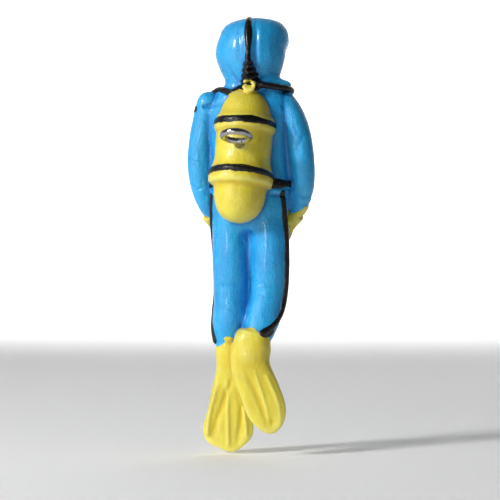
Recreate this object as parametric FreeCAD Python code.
"""Hanging aquarium ornament: a cast and painted diver with a screw eye in its air cylinder.

Figure coordinates, in millimetres: X to the diver's left, Y to the diver's back, Z up, with Z = 0 at the
lowest fin tip and X = Y = 0 on the middle of the trunk. At the end every piece is moved so that the centre
of the screw eye, where the ornament hangs from its line, is the origin.
"""
import FreeCAD, Part

import math
import os

from FreeCAD import Placement, Rotation, Vector

# Driving dimensions
HEIGHT = 65.0            # fin tip to crown
LEFT, RIGHT = 1, -1      # sign of X on each side of the diver
SECTION_POINTS = 16      # interpolation points round a limb section
BOXY = 2.5               # superellipse exponent of the trunk and the fin blades
ROUND = 2.0              # superellipse exponent of a limb

# Screw eye
WIRE_R = 0.475           # radius of the bent wire
EYE_R = 1.9              # ring radius, to the middle of the wire
EYE_LAND = 0.03          # depth of the flat worn round the inside of the ring
EYE_NECK = 0.47          # bare wire between the ring and the cylinder wall
EYE_SLIT = 0.14          # gap where the end of the bent wire stops short of the neck
EYE_SLIT_AT = 21.0       # degrees round the ring from the neck to that gap
EYE_LIFT = 18.0          # degrees the shank points above level
EYE_YAW = 3.0            # degrees the shank points to the diver's right of straight back
THREAD_R, THREAD_ROOT_R, THREAD_PITCH, THREAD_TURNS = 0.55, 0.42, 0.5, 9
THREAD_CLEARANCE = 0.03  # radial, in the hole through the cylinder wall
EYE_CENTRE = Vector(0.0, 9.9, 46.4)

# Air cylinder
TANK_TOP = Vector(-0.05, 1.75, 54.6)
TANK_BOTTOM = Vector(1.05, 4.65, 34.0)
TANK_R = 4.15
BAND_R = 0.42            # radius of the black band's cord section

# Hood
HEAD_X, HEAD_Y = -0.18, -0.2
HOOD_TOP = 64.72
HOOD_DEPTH = 0.83        # depth of the hood over its width
HOOD_FRONT = -3.5        # plane of the face opening

# Radii of the moulded cords and straps
HOSE_R, STRAP_R, STRIPE_R, CROWN_R = 0.48, 0.42, 0.5, 0.45


# ---------------------------------------------------------------- shapes

def unit(v):
    return v / v.Length


def section(centre, a, b, normal, power=ROUND):
    """Closed smooth section: a is its half width along X, b its half depth, square to normal."""
    n = unit(normal)
    u = unit(Vector(1, 0, 0) - n * n.x)
    v = n.cross(u)
    points = []
    for i in range(SECTION_POINTS):
        t = 2 * math.pi * i / SECTION_POINTS
        c, s = math.cos(t), math.sin(t)
        p = a * math.copysign(abs(c) ** (2 / power), c)
        q = b * math.copysign(abs(s) ** (2 / power), s)
        points.append(centre + u * p + v * q)
    curve = Part.BSplineCurve()
    curve.interpolate(points, PeriodicFlag=True)
    return Part.Wire(curve.toShape())


def limb(stations, power=ROUND):
    """Loft through (x, y, z, half width, half depth) stations, each section square to the path."""
    centres = [Vector(*s[:3]) for s in stations]
    wires = []
    for i, s in enumerate(stations):
        ahead = centres[min(i + 1, len(centres) - 1)]
        behind = centres[max(i - 1, 0)]
        wires.append(section(centres[i], s[3], s[4], ahead - behind, power))
    return Part.makeLoft(wires, True, False)


def ellipsoid(centre, rx, ry, rz):
    """Solid of elliptical sections stacked along Z, with very small flats for poles."""
    rings = []
    for degrees in (-80, -60, -35, 0, 35, 60, 80):
        t = math.radians(degrees)
        at = centre + Vector(0, 0, rz * math.sin(t))
        rings.append(section(at, rx * math.cos(t), ry * math.cos(t), Vector(0, 0, 1)))
    return Part.makeLoft(rings, True, False)


def capsule(p, q, r):
    """Round-ended rod from p to q."""
    rod = Part.makeCylinder(r, (q - p).Length, p, q - p)
    return rod.fuse([Part.makeSphere(r, p), Part.makeSphere(r, q)]).removeSplitter()


def rounded_path(points):
    """Straight runs joined by tangent arcs, each as large as its two runs allow."""
    edges, start = [], points[0]
    for before, corner, after in zip(points, points[1:], points[2:]):
        back, ahead = unit(before - corner), unit(after - corner)
        trim = 0.45 * min((before - corner).Length, (after - corner).Length)
        turn = math.pi - back.getAngle(ahead)
        radius = trim / math.tan(turn / 2)
        into, out = corner + back * trim, corner + ahead * trim
        bisector = unit(back + ahead)
        middle = corner + bisector * (math.hypot(radius, trim) - radius)
        edges.append(Part.LineSegment(start, into).toShape())
        edges.append(Part.Arc(into, middle, out).toShape())
        start = out
    edges.append(Part.LineSegment(start, points[-1]).toShape())
    return Part.Wire(edges)


def tube(points, r):
    """Solid round cord along the rounded path through the points, with ball ends."""
    points = [Vector(*p) for p in points]
    path = rounded_path(points)
    ring = Part.Wire(Part.makeCircle(r, points[0], points[1] - points[0]))
    cord = path.makePipeShell([ring], True, True)
    balls = [Part.makeSphere(r, points[0]), Part.makeSphere(r, points[-1])]
    return cord.fuse(balls)


def turned(profile, origin, axis):
    """Solid turned from (radius, height) points; height runs from origin along axis."""
    points = [Vector(r, 0, h) for r, h in profile]
    wire = Part.makePolygon(points + [points[0]])
    solid = Part.Face(wire).revolve(Vector(), Vector(0, 0, 1), 360)
    solid.Placement = Placement(origin, Rotation(Vector(0, 0, 1), axis))
    return solid


def biggest(shape):
    """The main solid of a cut, without the crumbs it may leave."""
    return max(shape.Solids, key=lambda s: s.Volume)


def carve(solid, tools):
    """The solid less everything that is set into it, one cut at a time, the largest first."""
    for tool in sorted(tools, key=lambda t: -t.Volume):
        if tool.BoundBox.intersect(solid.BoundBox):
            solid = biggest(solid.cut(tool))
    return solid


def mirrored(stations):
    return [(-s[0], *s[1:]) for s in stations]


# ---------------------------------------------------------------- air cylinder

def tank_axis():
    return unit(TANK_TOP - TANK_BOTTOM)


def tank_point(height):
    """Point on the cylinder's axis at a height above its bottom tip."""
    return TANK_BOTTOM + tank_axis() * height


# Each band: its height above the bottom tip, its ring's radius, and the degrees it rises towards the back
LOWER_BAND, LOWER_BAND_R, LOWER_TILT = 7.1, 4.5, 5.0
UPPER_BAND, UPPER_BAND_R, UPPER_TILT = 14.7, 4.22, 0.0


def tank_profile():
    """(radius, height) points that the cylinder's outline passes through, from the bottom tip up."""
    body = TANK_R
    return [
        (0.0, 0.0), (1.5, 0.3), (2.7, 1.15), (3.45, 2.5), (3.8, 4.1), (3.88, 5.0),
        (4.02, 5.35), (4.62, 5.7), (4.8, 6.1), (LOWER_BAND_R + 0.2, LOWER_BAND), (4.5, 8.0),
        (body + 0.08, 8.8), (body, 11.0), (body, 12.9), (4.2, 13.3), (4.5, 13.7), (4.56, 14.2),
        (UPPER_BAND_R + 0.28, UPPER_BAND), (4.4, 15.4), (4.0, 16.0), (3.75, 16.7), (3.25, 18.0),
        (2.35, 19.2), (1.1, 19.9), (0.95, 20.0),
    ]


def make_tank():
    profile = tank_profile()
    points = [Vector(r, 0, h) for r, h in profile]
    curve = Part.BSplineCurve()
    curve.interpolate(points)
    top = points[-1]
    edges = [
        curve.toShape(),
        Part.LineSegment(top, Vector(0, 0, top.z)).toShape(),
        Part.LineSegment(Vector(0, 0, top.z), points[0]).toShape(),
    ]
    solid = Part.Face(Part.Wire(edges)).revolve(Vector(), Vector(0, 0, 1), 360)
    solid.Placement = Placement(TANK_BOTTOM, Rotation(Vector(0, 0, 1), tank_axis()))
    return solid


def make_band(height, radius, tilt):
    """Black strap round the cylinder, a ring that rises towards the back."""
    ring = Part.makeTorus(radius, BAND_R)
    along = Rotation(Vector(0, 0, 1), tank_axis())
    lean = Rotation(Vector(1, 0, 0), tilt)
    ring.Placement = Placement(tank_point(height), along.multiply(lean))
    return ring


def make_tank_valve():
    """Yellow neck on the cylinder with the valve's yoke standing on its back."""
    base = tank_point(19.6)
    neck = turned([(0, 0), (1.25, 0), (1.1, 0.5), (1.1, 1.3), (0.8, 1.6), (0, 1.6)], base, tank_axis())
    yoke = Part.makeTorus(0.8, 0.27, Vector(-0.7, 4.35, 54.1), Vector(0, 1, 0.3))
    foot = capsule(base + Vector(-0.3, 0.3, 0.2), Vector(-0.7, 4.2, 53.5), 0.6)
    return neck.fuse(foot).fuse(yoke)


def make_valve_boot():
    """Ribbed black boot that carries the strap from the cylinder's valve up to the hood."""
    base, tip = Vector(-0.6, 2.3, 53.9), Vector(-0.5, 4.35, 57.6)
    ribs, base_r, tip_r = 5, 1.9, 0.6
    length = (tip - base).Length
    profile = [(0, 0)]
    for i in range(ribs):
        r = base_r + (tip_r - base_r) * i / ribs
        foot, rise = length * i / ribs, length / ribs
        profile += [(r * 0.72, foot), (r, foot + 0.35 * rise), (r * 0.93, foot + 0.7 * rise)]
    profile += [(tip_r * 0.8, length), (0, length)]
    return turned(profile, base, tip - base)


# ---------------------------------------------------------------- screw eye

def shank_direction():
    lift, yaw = math.radians(EYE_LIFT), math.radians(EYE_YAW)
    return Vector(-math.sin(yaw) * math.cos(lift), math.cos(yaw) * math.cos(lift), math.sin(lift))


def ring_normal():
    """Axis of the ring's hole, on the side that a line or hook leaves by: down and away from the cylinder."""
    return unit(shank_direction().cross(Vector(1, 0, 0)))


def eye_base():
    """Where the bare wire ends and the thread starts, at the cylinder's wall."""
    return EYE_CENTRE - shank_direction() * (EYE_R + WIRE_R + EYE_NECK)


def make_screw_eye():
    """Ring, neck and threaded shank of one bent steel wire."""
    normal, along = ring_normal(), shank_direction()
    ring = Part.makeTorus(EYE_R, WIRE_R, EYE_CENTRE, normal)
    land_r = EYE_R - WIRE_R + EYE_LAND
    ring = ring.cut(Part.makeCylinder(land_r, 4 * WIRE_R, EYE_CENTRE - normal * 2 * WIRE_R, normal))
    slit = Part.makeBox(2 * WIRE_R + 0.4, EYE_SLIT, 4 * WIRE_R)
    slit.translate(Vector(EYE_R - WIRE_R - 0.2, -EYE_SLIT / 2, -2 * WIRE_R))
    slit.rotate(Vector(), Vector(0, 0, 1), EYE_SLIT_AT)
    across = Placement(EYE_CENTRE, Rotation(along * -1, normal.cross(along), normal))
    slit.Placement = across.multiply(slit.Placement)
    ring = ring.cut(slit)
    neck = Part.makeCylinder(WIRE_R, EYE_NECK + 0.6 * WIRE_R, eye_base(), along)
    profile = [(0, 0), (THREAD_ROOT_R, 0)]
    for i in range(THREAD_TURNS):
        foot = i * THREAD_PITCH
        profile += [(THREAD_R, foot + 0.4 * THREAD_PITCH), (THREAD_R, foot + 0.6 * THREAD_PITCH),
                    (THREAD_ROOT_R, foot + THREAD_PITCH)]
    length = THREAD_TURNS * THREAD_PITCH
    profile += [(0, length + 2 * THREAD_ROOT_R)]
    thread = turned(profile, eye_base(), along * -1)
    return biggest(ring.fuse([neck, thread]))


def eye_hole():
    """Hole that the thread turns in, through the cylinder's wall."""
    depth = THREAD_TURNS * THREAD_PITCH + 4 * THREAD_ROOT_R
    return Part.makeCylinder(THREAD_R + THREAD_CLEARANCE, depth + 1.0,
                             eye_base() - shank_direction() * depth, shank_direction())


# ---------------------------------------------------------------- head

def hood_profile():
    """(half width, height, shift to the left) of the hood's sections, from the crown down."""
    return [(0.35, HOOD_TOP, -0.3), (1.3, 64.67, -0.3), (2.6, 64.35, -0.3), (3.8, 63.7, -0.25),
            (4.6, 62.85, -0.15), (5.15, 61.6, 0.0), (5.35, 60.4, 0.2), (5.4, 59.3, 0.3),
            (5.22, 58.1, 0.27), (4.85, 57.0, 0.2), (4.35, 55.7, 0.05), (3.9, 54.5, 0.0)]


def hood_half_width(z):
    """Half width of the hood at a height, read off its outline."""
    rows = hood_profile()
    for (r0, z0, _), (r1, z1, _) in zip(rows, rows[1:]):
        if z1 <= z <= z0:
            return r0 + (r1 - r0) * (z0 - z) / (z0 - z1)
    return rows[-1][0]


RIM_R, RIM_Y = 0.75, -2.9
RIM = [(0, 63.9), (1.6, 63.9), (3.6, 63.35), (4.45, 61.4), (4.05, 59.3), (3.7, 57.5), (1.8, 55.5), (0, 55.5)]


def make_rim():
    """Roll round the face opening in two halves, widest at the temples and drawn in under the chin."""
    halves = []
    for side in (LEFT, RIGHT):
        points = [Vector(HEAD_X + side * x, RIM_Y, z) for x, z in RIM]
        ring = Part.Wire(Part.makeCircle(RIM_R, points[0], points[1] - points[0]))
        halves.append(rounded_path(points).makePipeShell([ring], True, True))
    return halves


def make_hood():
    """Hood over the back and sides of the head, with a rolled edge round the face opening."""
    rings = []
    for r, z, shift in hood_profile():
        rings.append(section(Vector(HEAD_X + shift, HEAD_Y, z), r, r * HOOD_DEPTH, Vector(0, 0, 1)))
    solid = Part.makeLoft(rings, True, False)
    front = Part.makeBox(14, 6, 14, Vector(-7, HOOD_FRONT - 6, 52))
    for half in make_rim():
        solid = solid.fuse(half)
    return biggest(solid.cut(front))


FACE = [  # y, z, half width, half depth
    (-2.9, 55.8, 0.9, 0.8), (-2.85, 56.3, 1.6, 1.35), (-2.65, 57.3, 2.5, 1.8), (-2.45, 58.6, 3.3, 2.15),
    (-2.4, 60.1, 3.65, 2.25), (-2.3, 61.6, 3.5, 2.15), (-2.2, 62.7, 2.8, 1.85), (-2.1, 63.4, 1.7, 1.2),
]


def make_face():
    """Face filling the hood's opening, narrowing to the chin."""
    return limb([(HEAD_X, y, z, a, b) for y, z, a, b in FACE])


MASK_Z, MASK_HALF_WIDTH, MASK_HALF_HEIGHT = 60.55, 3.75, 1.85
LENS_BORDER = 0.6


def mask_block(half_width, half_height, back, front):
    """Prism of the mask's outline between two depths, front face bowed round the head."""
    outline = section(Vector(HEAD_X, back, MASK_Z), half_width, half_height, Vector(0, 1, 0), 2.8)
    block = Part.Face(outline).extrude(Vector(0, front - 1.0 - back, 0))
    bow = 9.0
    round_front = Part.makeCylinder(bow, 12, Vector(HEAD_X, front + bow, MASK_Z - 6))
    return block.common(round_front)


def make_mask_frame():
    frame = mask_block(MASK_HALF_WIDTH, MASK_HALF_HEIGHT, -3.2, -5.5)
    window = mask_block(MASK_HALF_WIDTH - LENS_BORDER, MASK_HALF_HEIGHT - LENS_BORDER, -4.3, -6.0)
    nose = ellipsoid(Vector(HEAD_X, -4.75, MASK_Z - 1.65), 0.85, 0.75, 0.85)
    return biggest(frame.cut(window).fuse(nose))


def make_mask_lens():
    lens = mask_block(MASK_HALF_WIDTH - LENS_BORDER, MASK_HALF_HEIGHT - LENS_BORDER, -4.3, -5.28)
    return biggest(lens)


def make_regulator():
    """Second stage held in the mouth: round case, raised purge button and exhaust below."""
    centre = Vector(HEAD_X, -4.1, 57.0)
    case = turned([(0, 0), (1.3, 0), (1.42, 0.35), (1.42, 1.1), (1.2, 1.4), (0.9, 1.42), (0.9, 1.58),
                   (0.75, 1.7), (0, 1.7)], centre, Vector(0, -1, 0))
    exhaust = ellipsoid(centre + Vector(0, -0.65, -1.15), 1.25, 0.55, 0.5)
    spigot = Part.makeCylinder(0.55, 1.0, centre + Vector(-1.0, -0.75, 0), Vector(-1, 0, 0))
    return biggest(case.fuse([exhaust, spigot]))


def make_crown_strap():
    """Black strap from the boot at the nape, over the crown, to the rim of the hood."""
    sink = 0.12
    points = [(-0.5, 4.45, 57.6)]
    for z, x in ((58.9, -0.52), (60.6, -0.48), (62.2, -0.4), (63.5, -0.28)):
        points.append((x, HEAD_Y + HOOD_DEPTH * hood_half_width(z) - sink, z))
    over = HOOD_TOP - 0.38
    points += [(-0.1, 1.5, over - 0.1), (0.0, 0.3, over + 0.02), (0.0, -1.2, over - 0.05),
               (-0.1, -2.6, over - 0.1), (-0.18, -3.3, over - 0.9)]
    return tube(points, CROWN_R)


# ---------------------------------------------------------------- body

TORSO = [  # x, y, z, half width, half depth
    (0, 0.1, 33.0, 4.9, 2.5), (0, 0.15, 35.0, 5.7, 2.95), (0, 0.15, 37.5, 5.8, 3.0),
    (0, 0.0, 40.0, 6.0, 2.85), (0, -0.05, 43.0, 6.05, 2.85), (0, 0.0, 47.0, 6.2, 3.0),
    (0, 0.1, 50.3, 6.35, 3.1), (0, 0.2, 52.2, 6.0, 2.9), (0, 0.3, 53.8, 4.7, 2.6),
    (0, 0.2, 55.4, 3.4, 2.6), (0, 0.0, 57.2, 3.1, 2.6),
]
LEFT_ARM = [
    (5.7, 0.1, 53.6, 0.5, 0.5), (5.9, 0.1, 53.2, 1.3, 1.3), (6.2, 0.1, 52.4, 1.8, 1.9),
    (6.55, 0.05, 51.0, 2.0, 2.1), (7.15, 0.0, 48.3, 2.05, 2.1), (7.75, -0.05, 45.0, 2.0, 2.05),
    (7.85, -0.2, 42.0, 1.95, 2.0), (7.5, -0.6, 39.3, 1.85, 1.85), (7.0, -1.3, 37.2, 1.65, 1.65),
    (6.65, -2.1, 35.7, 1.5, 1.45),
]
RIGHT_ARM = [
    (-5.0, 0.1, 53.1, 0.5, 0.5), (-5.15, 0.1, 52.8, 1.2, 1.25), (-5.4, 0.1, 51.9, 1.7, 1.85),
    (-5.95, 0.05, 50.6, 1.95, 2.1), (-6.95, 0.0, 48.0, 2.0, 2.1), (-7.6, -0.1, 45.0, 1.95, 2.05),
    (-7.85, -0.4, 42.0, 1.9, 2.0), (-7.65, -1.1, 39.3, 1.8, 1.85), (-7.0, -2.2, 37.2, 1.65, 1.65),
    (-6.35, -3.05, 35.8, 1.5, 1.4),
]
LEFT_LEG = [
    (2.75, 0.0, 36.0, 2.5, 2.5), (2.95, 0.05, 33.0, 2.9, 2.9), (2.95, 0.0, 29.5, 2.95, 2.85),
    (3.0, -0.1, 26.2, 2.75, 2.65), (3.05, -0.2, 23.8, 2.6, 2.55), (3.15, -0.15, 21.0, 2.6, 2.5),
    (3.35, -0.25, 18.2, 2.4, 2.2), (3.7, -0.6, 15.6, 1.6, 1.6),
]
RIGHT_LEG = [
    (-2.75, 0.0, 36.0, 2.5, 2.5), (-2.9, 0.05, 33.0, 2.9, 2.9), (-2.9, 0.0, 29.5, 2.95, 2.85),
    (-2.8, 0.0, 26.2, 2.8, 2.7), (-2.65, 0.1, 23.8, 2.7, 2.6), (-2.2, 0.45, 21.0, 2.75, 2.5),
    (-1.6, 0.9, 18.8, 2.65, 2.3), (-1.1, 1.45, 16.6, 2.0, 1.9),
]
LEFT_FIN = [
    (3.75, -0.6, 16.8, 1.65, 1.8), (3.5, -0.75, 15.2, 1.95, 2.0), (3.4, -0.9, 12.8, 2.0, 1.75),
    (3.5, -1.0, 10.6, 2.3, 1.35), (3.65, -1.05, 8.4, 2.75, 1.0), (3.6, -1.1, 5.6, 3.45, 0.8),
    (3.65, -1.1, 3.6, 3.95, 0.7), (3.7, -1.1, 2.3, 3.8, 0.65), (3.6, -1.1, 1.2, 2.9, 0.58),
    (3.6, -1.1, 0.5, 1.8, 0.5), (3.65, -1.1, 0.0, 0.7, 0.3),
]
RIGHT_FIN = [
    (-1.05, 1.4, 18.1, 2.3, 2.1), (-0.6, 1.55, 16.4, 2.85, 2.35), (-0.3, 1.7, 14.3, 2.95, 2.15),
    (-0.6, 1.85, 12.2, 3.0, 1.7), (-1.45, 1.95, 10.2, 3.05, 1.3), (-2.25, 2.05, 8.2, 3.1, 1.0),
    (-2.95, 2.1, 6.2, 2.95, 0.8), (-3.2, 2.1, 4.7, 2.35, 0.62), (-3.25, 2.1, 3.7, 1.5, 0.48),
    (-3.2, 2.1, 3.1, 0.5, 0.28),
]


def make_torso():
    """Trunk, neck and the rolled collar that shows above the hose on the right shoulder."""
    trunk = limb(TORSO, BOXY)
    roll = capsule(Vector(-2.4, 2.3, 55.1), Vector(-5.6, 0.3, 54.75), 0.75)
    return biggest(trunk.fuse(roll))


def make_fin(stations, ribs):
    """Foot pocket running into a thin blade, with raised ribs on the sole."""
    blade = limb(stations, BOXY)
    rods = [tube(points, 0.32) for points in ribs]
    return biggest(blade.fuse(rods))


def make_glove(wrist, palm, tips, thumb, side):
    """Five-fingered glove laid flat on the front of the thigh."""
    wrist, palm = Vector(*wrist), Vector(*palm)
    cuff = limb([(*wrist, 1.5, 1.5), (*(wrist * 0.45 + palm * 0.55), 1.6, 1.3), (*palm, 1.55, 0.95)])
    hand = ellipsoid(palm, 1.65, 1.0, 1.6)
    across = (-0.95, -0.32, 0.32, 0.95)
    fingers = [capsule(palm + Vector(side * a, -0.1, -0.4), Vector(*tip), 0.42)
               for a, tip in zip(across, tips)]
    rest = capsule(palm + Vector(-side * 0.9, -0.2, 0.3), Vector(*thumb), 0.42)
    return biggest(cuff.fuse([hand, rest, *fingers]))


def make_belt():
    """Waist belt: a band set half into the trunk."""
    x, y, z, a, b = 0, 0.0, 39.85, 6.0, 2.87
    half_height, proud, sunk = 0.5, 0.2, 0.4
    def ring(grow):
        return limb([(x, y + 0.03, z - half_height, a + grow, b + grow),
                     (x, y, z + half_height, a + grow, b + grow)], BOXY)
    return biggest(ring(proud).cut(ring(-sunk)))


def make_buckle():
    """Plain buckle with a raised bar, on the front of the belt."""
    plate = Part.makeBox(2.0, 0.55, 1.5, Vector(-1.0, -3.35, 39.1))
    plate = plate.makeFillet(0.2, plate.Edges)
    bar = Part.makeBox(0.5, 0.25, 1.0, Vector(-0.25, -3.5, 39.35))
    return plate.fuse(bar)


RIGHT_HOSE = [(-1.2, 2.9, 54.6), (-2.3, 3.3, 54.3), (-4.3, 2.75, 54.0), (-5.8, 1.35, 53.9),
              (-6.25, -0.2, 53.7), (-5.7, -1.9, 53.6), (-4.4, -3.3, 54.3), (-3.2, -4.4, 55.6),
              (-2.2, -4.8, 56.7), (-1.6, -4.85, 57.0)]
LEFT_HOSE = [(1.0, 2.9, 53.9), (2.1, 3.1, 53.2), (3.5, 2.2, 53.6), (4.5, 1.0, 54.0), (5.7, -0.5, 53.6),
             (7.2, -1.4, 52.4), (8.2, -1.25, 51.2), (8.0, -2.0, 49.9), (6.6, -3.0, 48.4),
             (5.0, -3.2, 46.0), (4.5, -3.0, 43.0), (4.3, -2.9, 40.7)]
LEFT_STRAP = [(5.15, 0.5, 53.25), (5.1, -0.7, 53.4), (4.7, -2.1, 52.7),
              (4.0, -2.95, 50.5), (3.4, -3.05, 47.0), (3.0, -2.75, 43.5), (2.9, -2.75, 40.5)]
LEFT_STRIPE = [(5.5, 1.0, 38.2), (5.8, 0.3, 34.8), (5.7, -0.9, 31.0), (5.55, -1.2, 27.0),
               (5.45, -1.15, 23.5), (5.65, -0.6, 20.8), (5.65, 0.05, 18.6), (5.3, 0.05, 16.6)]
RIGHT_STRIPE = [(-5.0, 1.6, 38.4), (-5.45, 1.2, 34.0), (-5.6, 0.95, 30.0), (-5.5, 0.7, 26.0),
                (-5.25, 0.7, 23.0), (-4.75, 1.15, 20.6), (-3.75, 1.95, 19.0), (-2.4, 3.0, 17.9)]
LEFT_FIN_RIBS = [
    [(3.55, 0.2, 10.5), (3.62, -0.25, 7.5), (3.6, -0.4, 4.0), (3.5, -0.5, 1.2)],
    [(5.0, 0.0, 10.5), (5.9, -0.35, 7.5), (6.6, -0.5, 4.5), (6.7, -0.55, 2.6)],
    [(2.1, 0.0, 10.5), (1.5, -0.35, 7.5), (0.9, -0.5, 4.5), (0.75, -0.55, 2.6)],
]
RIGHT_FIN_RIBS = [
    [(-1.2, 3.3, 12.6), (-2.1, 3.05, 9.8), (-2.9, 2.8, 7.2), (-3.3, 2.65, 4.8)],
    [(0.6, 3.0, 12.2), (-0.1, 2.85, 9.8), (-0.95, 2.65, 7.4), (-1.5, 2.55, 5.6)],
    [(-2.9, 2.9, 11.8), (-4.0, 2.75, 9.6), (-4.85, 2.6, 7.4), (-4.9, 2.5, 5.6)],
]


def make_all():
    """Every piece before the set-in ones are cut out of what they sit in."""
    made = {
        "screw_eye": make_screw_eye(),
        "crown_strap": make_crown_strap(),
        "valve_boot": make_valve_boot(),
        "regulator_hose": tube(RIGHT_HOSE, HOSE_R),
        "inflator_hose": tube(LEFT_HOSE, HOSE_R),
        "mask_lens": make_mask_lens(),
        "mask_frame": make_mask_frame(),
        "regulator": make_regulator(),
        "belt_buckle": make_buckle(),
        "upper_tank_band": make_band(UPPER_BAND, UPPER_BAND_R, UPPER_TILT),
        "lower_tank_band": make_band(LOWER_BAND, LOWER_BAND_R, LOWER_TILT),
        "tank_valve": make_tank_valve(),
        "air_tank": make_tank(),
        "waist_belt": make_belt(),
        "left_shoulder_strap": tube(LEFT_STRAP, STRAP_R),
        "right_shoulder_strap": tube(mirrored(LEFT_STRAP), STRAP_R),
        "left_side_stripe": tube(LEFT_STRIPE, STRIPE_R),
        "right_side_stripe": tube(RIGHT_STRIPE, STRIPE_R),
        "face": make_face(),
        "hood": make_hood(),
        "left_glove": make_glove((6.65, -2.1, 35.7), (5.6, -3.5, 34.0),
                                 [(3.6, -4.1, 31.9), (4.3, -4.2, 31.4), (5.0, -4.2, 31.3), (5.8, -4.0, 31.7)],
                                 (3.9, -4.4, 33.5), LEFT),
        "right_glove": make_glove((-6.35, -3.05, 35.8), (-4.7, -4.0, 34.3),
                                  [(-2.7, -4.3, 32.2), (-3.4, -4.5, 31.7), (-4.1, -4.5, 31.6),
                                   (-4.9, -4.2, 31.9)],
                                  (-2.9, -4.7, 33.8), RIGHT),
        "right_fin": make_fin(RIGHT_FIN, RIGHT_FIN_RIBS),
        "left_fin": make_fin(LEFT_FIN, LEFT_FIN_RIBS),
        "right_leg": limb(RIGHT_LEG),
        "left_leg": limb(LEFT_LEG),
        "left_arm": limb(LEFT_ARM),
        "right_arm": limb(RIGHT_ARM),
        "torso": make_torso(),
    }
    return made


def fit_together(raw):
    """Cuts each piece by all those named before it, so that neighbours meet face to face."""
    done = {}
    for name, solid in raw.items():
        tools = [s for other, s in raw.items() if other in done and other != "screw_eye"]
        if name == "air_tank":
            tools.append(eye_hole())
        done[name] = carve(solid, tools)
    return done


def main():
    os.makedirs("parts", exist_ok=True)
    pieces = fit_together(make_all())
    for name, solid in pieces.items():
        solid.translate(EYE_CENTRE * -1)
        solid.exportStep(f"parts/{name}.step")
        state = "ok" if solid.isValid() and solid.Volume > 0 else "BAD"
        print(f"{name:22s} {state} {len(solid.Solids)} solid {solid.Volume:8.2f} mm3")
    box = Part.makeCompound(list(pieces.values())).BoundBox
    print(f"overall {box.XLength:.2f} x {box.YLength:.2f} x {box.ZLength:.2f} mm,"
          f" y {box.YMin:.2f} to {box.YMax:.2f}, z {box.ZMin:.2f} to {box.ZMax:.2f}")


main()
